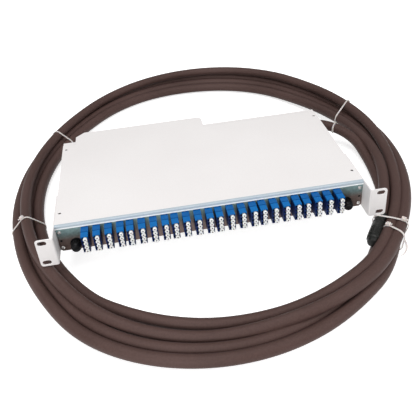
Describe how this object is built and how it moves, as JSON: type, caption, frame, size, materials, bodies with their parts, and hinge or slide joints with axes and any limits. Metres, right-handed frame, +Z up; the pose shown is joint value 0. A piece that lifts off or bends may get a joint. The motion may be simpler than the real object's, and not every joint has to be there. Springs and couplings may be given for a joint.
{
  "type": "rack optical distribution frame",
  "caption": "White rack-mount fibre distribution frame with a sliding front of blue capped adapters, black pull latches and a thick brown trunk cable coiled beneath it.",
  "frame": {"origin": "middle of the four ear slots, on the rear face of the ears, which is the face that meets the rack posts", "axes": "+X right seen from the front, +Y to the rear of the rack, +Z up"},
  "size_m": [0.646, 0.8358, 0.0779],
  "materials": {
    "white_coat": "satin powder coat",
    "zinc": "bright zinc plate",
    "steel": "bright",
    "rail_grey": "matt nylon",
    "adapter_blue": "moulded, semi-gloss",
    "cap_white": "moulded",
    "plug_blue": "moulded",
    "black_plastic": "moulded",
    "spool_grey": "moulded",
    "fibre_yellow": "smooth",
    "jacket_brown": "satin extruded jacket",
    "tie_white": "nylon"
  },
  "bodies": {
    "chassis": {"housing": "white_coat", "top_cover": "white_coat", "front_rail": "zinc", "ear_left": "white_coat", "ear_right": "white_coat", "cover_screws": "steel", "ear_screws": "steel", "slide_rail_left": "rail_grey", "slide_rail_right": "rail_grey", "gland_locknut": "black_plastic", "gland_body": "black_plastic", "gland_nut": "black_plastic", "cable_lead": "jacket_brown", "cable_coil": "jacket_brown", "cable_ties": "tie_white", "end_fitting_body": "black_plastic", "end_fitting_nut": "black_plastic"},
    "drawer": {"drawer_tray": "zinc", "front_plate": "zinc", "front_rivets": "steel", "adapter_01": "adapter_blue", "adapter_02": "adapter_blue", "adapter_03": "adapter_blue", "adapter_04": "adapter_blue", "adapter_05": "adapter_blue", "adapter_06": "adapter_blue", "adapter_07": "adapter_blue", "adapter_08": "adapter_blue", "adapter_09": "adapter_blue", "adapter_10": "adapter_blue", "adapter_11": "adapter_blue", "adapter_12": "adapter_blue", "adapter_13": "adapter_blue", "adapter_14": "adapter_blue", "adapter_15": "adapter_blue", "adapter_16": "adapter_blue", "adapter_17": "adapter_blue", "adapter_18": "adapter_blue", "adapter_19": "adapter_blue", "adapter_20": "adapter_blue", "adapter_21": "adapter_blue", "adapter_22": "adapter_blue", "adapter_23": "adapter_blue", "adapter_24": "adapter_blue", "dust_caps": "cap_white", "pigtail_connectors": "plug_blue", "latch_grommet_left": "black_plastic", "latch_grommet_right": "black_plastic", "fibre_spool_left": "spool_grey", "fibre_spool_right": "spool_grey", "fibre_loom": "fibre_yellow", "fan_out_block": "spool_grey"},
    "latch_left": {"latch_plunger_left": "black_plastic"},
    "latch_right": {"latch_plunger_right": "black_plastic"}
  },
  "joints": [
    {"name": "drawer_slide", "type": "slide", "parent": "chassis", "child": "drawer", "axis": [0, -1, 0], "range_m": [0, 0.15]},
    {"name": "latch_left_pull", "type": "slide", "parent": "drawer", "child": "latch_left", "axis": [0, -1, 0], "range_m": [0, 0.008]},
    {"name": "latch_right_pull", "type": "slide", "parent": "drawer", "child": "latch_right", "axis": [0, -1, 0], "range_m": [0, 0.008]}
  ]
}
